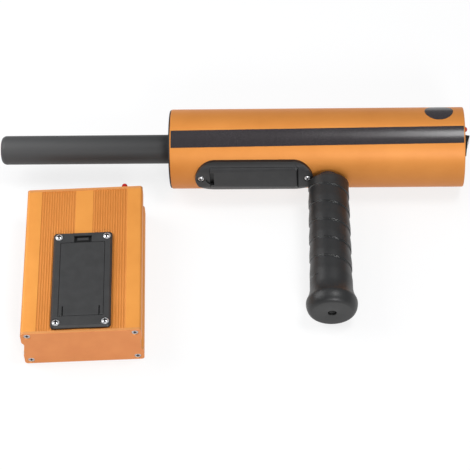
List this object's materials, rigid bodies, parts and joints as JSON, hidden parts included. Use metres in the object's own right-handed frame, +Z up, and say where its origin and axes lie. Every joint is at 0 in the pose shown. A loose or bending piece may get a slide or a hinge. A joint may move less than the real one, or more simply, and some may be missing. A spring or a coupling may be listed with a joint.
{
  "type": "long range metal detector",
  "caption": "Pistol-shaped locator with a tube body, antenna rod, swivelling rubber grip and hinged battery lid, and its flat finned transmitter box with probe sockets.",
  "frame": {"origin": "middle of the set's footprint on the table, as both units lie in the picture", "axes": "+X along the receiver's tube from the rod's tip to the switch end, +Y away from the viewer, from the grip to the tube, +Z up"},
  "size_m": [0.4022, 0.2342, 0.0682],
  "materials": {
    "anodised_orange": "satin anodised",
    "black_plastic": "fine moulded grain",
    "rod_black": "satin",
    "grip_rubber": "satin moulded rubber",
    "label_black": "laminated film, bare",
    "steel": "zinc plated",
    "led_red": "clear tinted resin",
    "ferrite": "matt sintered",
    "copper": "enamelled wire",
    "board_green": "solder mask",
    "component_black": "moulded",
    "battery_case": "bare printed jacket",
    "contact_nickel": "nickel plated spring strip",
    "socket_red": "moulded",
    "socket_black": "moulded"
  },
  "bodies": {
    "receiver": {"body_tube": "anodised_orange", "front_cap": "black_plastic", "antenna_rod": "rod_black", "ferrite_core": "ferrite", "coil_bobbin": "black_plastic", "coil_winding": "copper", "rear_cap": "black_plastic", "rear_switch": "black_plastic", "rear_led": "led_red", "receiver_board": "board_green", "receiver_components": "component_black", "label_strip": "label_black", "round_label": "label_black", "battery_box": "black_plastic", "lid_hinge_pin": "steel", "battery_box_screws": "steel", "receiver_battery": "battery_case", "receiver_contacts": "contact_nickel", "bearing_housing": "black_plastic", "saddle_washer": "black_plastic", "neck_nut": "black_plastic", "bearing_outer_rings": "steel", "bearing_spacer": "black_plastic"},
    "handle": {"bearing_inner_rings": "steel", "handle_shaft": "steel", "shaft_nut": "steel", "handle_core": "black_plastic", "grip": "grip_rubber"},
    "battery_lid": {"battery_lid": "black_plastic"},
    "rear_rocker": {"rear_rocker": "black_plastic"},
    "transmitter": {"case_bottom": "anodised_orange", "case_top": "anodised_orange", "near_plate": "anodised_orange", "far_plate": "anodised_orange", "plate_screws": "steel", "battery_holder": "black_plastic", "holder_screws": "steel", "transmitter_batteries": "battery_case", "transmitter_contacts": "contact_nickel", "transmitter_board": "board_green", "transmitter_components": "component_black", "panel_switch": "black_plastic", "panel_led": "led_red", "panel_led_bezel": "black_plastic", "probe_socket_red": "socket_red", "probe_socket_black": "socket_black"},
    "battery_door": {"battery_door": "black_plastic"},
    "panel_rocker": {"panel_rocker": "black_plastic"}
  },
  "joints": [
    {"name": "handle_swivel", "type": "hinge", "parent": "receiver", "child": "handle", "pos_m": [0.07991, 0.04523, 0.0309], "axis": [0.0157, -0.9965, -0.0816], "continuous": true},
    {"name": "battery_lid_hinge", "type": "hinge", "parent": "receiver", "child": "battery_lid", "pos_m": [0.05221, 0.04886, 0.03608], "axis": [0, 0.0605, 0.9982], "range_deg": [0, 90]},
    {"name": "rear_rocker_pivot", "type": "hinge", "parent": "receiver", "child": "rear_rocker", "pos_m": [0.19441, 0.08509, 0.03416], "axis": [0, -0.0816, 0.9967], "range_deg": [0, 24]},
    {"name": "transmitter_lift", "type": "slide", "parent": "receiver", "child": "transmitter", "axis": [0, 0, 1], "range_m": [0, 0.2]},
    {"name": "battery_door_hinge", "type": "hinge", "parent": "transmitter", "child": "battery_door", "pos_m": [-0.11934, -0.09914, 0.0415], "axis": [0.999, 0.0447, 0], "range_deg": [0, 90]},
    {"name": "panel_rocker_pivot", "type": "hinge", "parent": "transmitter", "child": "panel_rocker", "pos_m": [-0.11133, 0.03505, 0.018], "axis": [0, 0, 1], "range_deg": [0, 24]}
  ]
}
